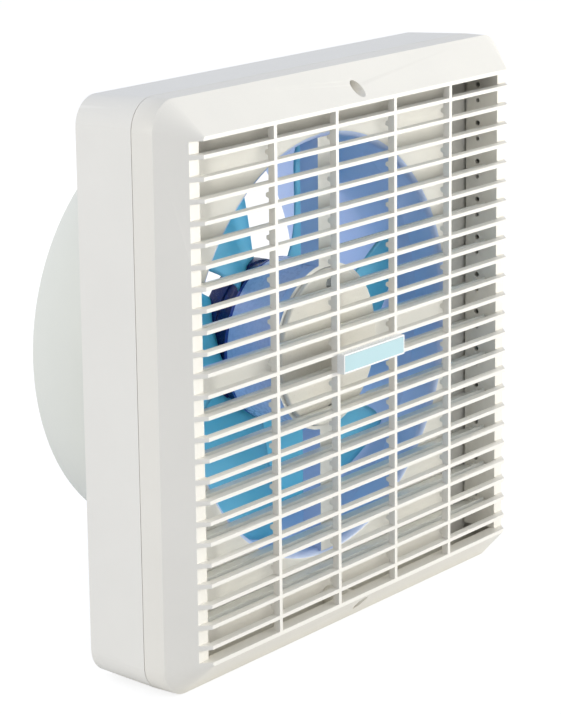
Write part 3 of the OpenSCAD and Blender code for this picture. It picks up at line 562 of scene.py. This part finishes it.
class FAN_OT_impeller(FanOperator, bpy.types.Operator):
    """Model the impeller with smooth blades and a rounded hub"""

    bl_idname = "fan.impeller"
    bl_label = "Impeller"

    # The blades' shape as the solid has it: degrees round the axis, then mm along it at the hub and the tip
    WRAP, SWEEP, START = 52, 14, -13
    ROOT_DEPTH, TIP_DEPTH, ROOT_Z, TIP_Z = 15, 34, -4.8, 0
    # How the wrap widens outwards, how far and how late the tip's corners are cut back, and the camber in mm
    WIDENING, CUT_BACK, CUT_POWER, CAMBER, CAMBER_DROP = 0.1, 0.22, 6, 5, 0.6
    # A blade's edges keep this share of its thickness, and its tip loses another over the last part
    EDGE_SHARE, EDGE_POWER = 0.12, 12
    TIP_START, TIP_PART, TIP_LOSS, TIP_POWER = 0.9, 0.1, 0.75, 4
    # The hub in mm: how far its ends stand before the wall's plane, its floor, its boss and the shaft's bore
    HUB_FRONT, HUB_BACK, FLOOR, BOSS_R, SHAFT_R = 4.4, -14, 2.5, 9, 4.02
    # From the hub's front: the groove's two sides, then its depth, the boss's step and the rounding
    GROOVE_START, GROOVE_END, GROOVE_DEPTH, BOSS_STEP, HUB_ROUND = 4, 8.5, 1.1, 2, 1.2
    # The ribs' count, and in mm half of their thickness and how far they stand back from the hub's front
    RIBS, RIB_HALF, RIB_STEP = 6, 0.9, 6

    def execute(self, context):
        low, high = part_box("impeller")
        if high[0] - low[0] < 2 * sizes().hub_radius:
            raise RuntimeError("The impeller in the frame is smaller than its hub")
        self.vanes()
        self.hub()
        return {"FINISHED"}

    def place(self, u, v, lift):
        """A point of a blade: u from hub to tip, v from trailing to leading edge, lift off its middle."""
        inner = sizes().hub_radius - sizes().hub_wall / 2
        radius = inner + (sizes().tip_radius - inner) * u
        span = self.WRAP * (1 + self.WIDENING * u) * (1 - self.CUT_BACK * u ** self.CUT_POWER)
        turn = math.radians(self.SWEEP * u + (v - 0.5) * span + self.START)
        depth = self.ROOT_DEPTH + (self.TIP_DEPTH - self.ROOT_DEPTH) * math.sqrt(u)
        middle = self.ROOT_Z + (self.TIP_Z - self.ROOT_Z) * math.sqrt(u)
        z = middle + (v - 0.5) * depth + self.CAMBER * u * (4 * v * (1 - v) - self.CAMBER_DROP)
        return Vector((radius * math.cos(turn), -z * MM - lift, radius * math.sin(turn)))

    def half_thickness(self, u, v):
        """Half of a blade's thickness, which falls off at its edges and its tip."""
        flat = 1 - abs(2 * v - 1) ** self.EDGE_POWER
        tip = 1 - max(0, (u - self.TIP_START) / self.TIP_PART) ** self.TIP_POWER * self.TIP_LOSS
        return sizes().vane_thickness / 2 * (self.EDGE_SHARE + (1 - self.EDGE_SHARE) * flat) * tip

    def vanes(self):
        """All the blades in one mesh, each a row of loops round its two faces."""
        across, along = 16, 24
        mesh = bmesh.new()
        count = sizes().vane_count
        there_and_back = [(1, j / along) for j in range(along + 1)]
        there_and_back += [(-1, j / along) for j in range(along - 1, 0, -1)]
        for k in range(count):
            turn = Matrix.Rotation(-TURN * k / count, 3, "Y")
            loops = []
            for i in range(across + 1):
                u = i / across
                loops.append([mesh.verts.new(turn @ self.place(u, v, side * self.half_thickness(u, v)))
                              for side, v in there_and_back])
            skin(mesh, loops)
        bmesh.ops.recalc_face_normals(mesh, faces=mesh.faces)
        sky = translucent_plastic("Polypropylene blue moulded", colours().vane, colours().vane_glow)
        piece("impeller_blades", mesh, sky, "spindle", "impeller_plastic", "impeller")

    def hub(self):
        """The navy cup with its groove, its boss on the shaft and the ribs between them."""
        outer = sizes().hub_radius
        wall = sizes().hub_wall
        front, back = -self.HUB_FRONT * MM, -self.HUB_BACK * MM
        floor = self.FLOOR * MM
        boss = self.BOSS_R * MM
        bore = self.SHAFT_R * MM
        step = front + self.BOSS_STEP * MM
        start, end, bottom = front + self.GROOVE_START * MM, front + self.GROOVE_END * MM, self.GROOVE_DEPTH * MM
        profile = [(outer, front), (outer, start), (outer - bottom, start), (outer - bottom, end),
                   (outer, end), (outer, back), (bore, back), (bore, step), (boss, step),
                   (boss, back - floor), (outer - wall, back - floor), (outer - wall, front)]
        mesh = bmesh.new()
        lathe(mesh, rounded_profile(profile, self.HUB_ROUND * MM))
        # The ribs' ends reach into the boss, the wall and the floor
        inside, outside = boss - MM, outer - wall + 0.5 * MM
        for k in range(self.RIBS):
            turn = Matrix.Rotation(TURN * k / self.RIBS, 3, "Y")
            self.rib(mesh, turn, inside, outside, front + self.RIB_STEP * MM, back - floor + MM)
        bmesh.ops.recalc_face_normals(mesh, faces=mesh.faces)
        navy = moulded("Polypropylene navy moulded", colours().hub, roughness=0.22, grain_depth=0.004, IOR=1.49)
        piece("impeller_hub", mesh, navy, "spindle", "impeller_plastic", "impeller")

    def rib(self, mesh, turn, inner, outer, front, back):
        """A flat rib between two radii and two depths."""
        corners = [(inner, front), (outer, front), (outer, back), (inner, back)]
        sides = [[mesh.verts.new(turn @ Vector((r, y, s * self.RIB_HALF * MM))) for r, y in corners]
                 for s in (-1, 1)]
        skin(mesh, sides)


class FAN_OT_studio(FanOperator, bpy.types.Operator):
    """Set up the floor, light and camera"""

    bl_idname = "fan.studio"
    bl_label = "Studio"

    # Square lamps that face the origin: name, place and width in metres, watts and colour
    LAMPS = (
        ("key", (1.9, -2.1, 0.25), 0.9, 52, (1.0, 0.98, 0.91)),
        ("left", (-2.6, 0.7, 0.3), 1.4, 16, (1.0, 0.95, 0.83)),
        ("behind", (0.3, 1.5, 0.1), 1.0, 13, (0.92, 0.95, 1.0)),
    )
    SKY, SKY_STRENGTH = (0.87, 0.91, 1, 1), 0.76
    WHITE = (1, 1, 1, 1)
    # The floor's half width in metres and its drop in mm, its grey as it lights the fan, and what is seen of it
    FLOOR_HALF, FLOOR_DROP = 6.0, 0.1
    PAPER, SEEN_PAPER, SEEN_GLOW = 0.8, 0.3, 0.8
    # The camera's place in metres, its turns in radians and its sensor's height in mm
    CAMERA = (-1.1390, -0.8807, 0.3526)
    YAW, PITCH, ROLL = 0.918, 0.248, -0.012
    SENSOR = 36

    def execute(self, context):
        self.floor()
        self.world()
        for lamp in self.LAMPS:
            self.lamp(*lamp)
        self.camera(context)
        return {"FINISHED"}

    def floor(self):
        """Matt white paper. The camera sees its shadow on pure white, and the fan is lit by plain paper."""
        half = self.FLOOR_HALF
        # Just under the fan, so that the two faces don't lie in one plane
        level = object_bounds()[0][2] - self.FLOOR_DROP * MM
        corners = [(-half, -half, level), (half, -half, level), (half, half, level), (-half, half, level)]
        mesh = bpy.data.meshes.new("studio_floor")
        mesh.from_pydata(corners, [], [(0, 1, 2, 3)])
        floor = bpy.data.objects.new("studio_floor", mesh)
        bpy.context.scene.collection.objects.link(floor)
        material, tree, output = new_material("Paper white")
        seen = add(tree, "ShaderNodeLightPath").outputs["Is Camera Ray"]
        matt = add(tree, "ShaderNodeBsdfDiffuse", {"Color": rgba((self.SEEN_PAPER,) * 3)})
        glow = add(tree, "ShaderNodeEmission", {"Color": self.WHITE, "Strength": self.SEEN_GLOW})
        both = add(tree, "ShaderNodeAddShader", {0: matt.outputs[0], 1: glow.outputs[0]})
        plain = add(tree, "ShaderNodeBsdfDiffuse", {"Color": rgba((self.PAPER,) * 3)})
        mix = add(tree, "ShaderNodeMixShader", {0: seen, 1: plain.outputs[0], 2: both.outputs[0]})
        tree.links.new(mix.outputs[0], output.inputs["Surface"])
        mesh.materials.append(material)
        floor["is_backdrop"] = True

    def world(self):
        """A dim, cool sky that the camera sees as white."""
        world = bpy.data.worlds.new("Studio white")
        bpy.context.scene.world = world
        world.use_nodes = True
        tree = world.node_tree
        tree.nodes.clear()
        rays = add(tree, "ShaderNodeLightPath").outputs
        seen = add(tree, "ShaderNodeMath", {0: rays["Is Camera Ray"], 1: rays["Is Transmission Ray"]},
                   operation="MAXIMUM")
        lit = add(tree, "ShaderNodeBackground", {"Color": self.SKY, "Strength": self.SKY_STRENGTH})
        white = add(tree, "ShaderNodeBackground", {"Color": self.WHITE, "Strength": 1})
        mix = add(tree, "ShaderNodeMixShader", {0: seen.outputs[0], 1: lit.outputs[0], 2: white.outputs[0]})
        output = add(tree, "ShaderNodeOutputWorld")
        tree.links.new(mix.outputs[0], output.inputs["Surface"])

    def lamp(self, name, place, width, power, colour):
        light = bpy.data.lights.new(name, "AREA")
        light.size = width
        light.energy = power
        light.color = colour
        lamp = bpy.data.objects.new(name, light)
        lamp.location = place
        lamp.rotation_euler = Vector(place).to_track_quat("Z", "Y").to_euler()
        bpy.context.scene.collection.objects.link(lamp)

    def camera(self, context):
        """The camera as fitted to the fan's edges in the photo."""
        yaw, pitch, roll = self.YAW, self.PITCH, self.ROLL
        ahead = Vector((math.sin(yaw) * math.cos(pitch), math.cos(yaw) * math.cos(pitch), -math.sin(pitch)))
        right = Vector((math.cos(yaw), -math.sin(yaw), 0))
        up = right.cross(ahead)
        right, up = (right * math.cos(roll) + up * math.sin(roll), up * math.cos(roll) - right * math.sin(roll))
        data = bpy.data.cameras.new("photo")
        data.sensor_fit = "VERTICAL"
        data.sensor_height = self.SENSOR
        data.lens = sizes().lens
        camera = bpy.data.objects.new("photo", data)
        turn = Matrix((right, up, -ahead)).transposed().to_4x4()
        camera.matrix_world = Matrix.Translation(self.CAMERA) @ turn
        context.scene.collection.objects.link(camera)
        context.scene.camera = camera
        context.scene.view_settings.view_transform = "Standard"


class FAN_PT_panel(bpy.types.Panel):
    """Lists the fan's pieces"""

    bl_label = "Window Exhaust Fan"
    bl_idname = "FAN_PT_panel"
    bl_space_type = "VIEW_3D"
    bl_region_type = "UI"
    bl_category = "Window Fan"

    def draw(self, context):
        for operator in OPERATORS:
            self.layout.operator(operator.bl_idname)
        for group in (context.scene.fan_sizes, context.scene.fan_colours):
            for name in group.bl_rna.properties.keys():
                if name not in {"rna_type", "name"}:
                    self.layout.prop(group, name)


OPERATORS = (FAN_OT_body, FAN_OT_shutters, FAN_OT_motor, FAN_OT_wiring, FAN_OT_badge, FAN_OT_impeller,
             FAN_OT_studio)
CLASSES = (FanColours, FanSizes, *OPERATORS, FAN_PT_panel)


def register():
    for cls in CLASSES:
        bpy.utils.register_class(cls)
    bpy.types.Scene.fan_colours = PointerProperty(type=FanColours)
    bpy.types.Scene.fan_sizes = PointerProperty(type=FanSizes)


def unregister():
    del bpy.types.Scene.fan_sizes
    del bpy.types.Scene.fan_colours
    for cls in reversed(CLASSES):
        bpy.utils.unregister_class(cls)


def main():
    register()
    bpy.ops.fan.body()
    bpy.ops.fan.shutters()
    bpy.ops.fan.motor()
    bpy.ops.fan.wiring()
    bpy.ops.fan.badge()
    bpy.ops.fan.impeller()
    bpy.ops.fan.studio()


if __name__ == "__main__":
    main()
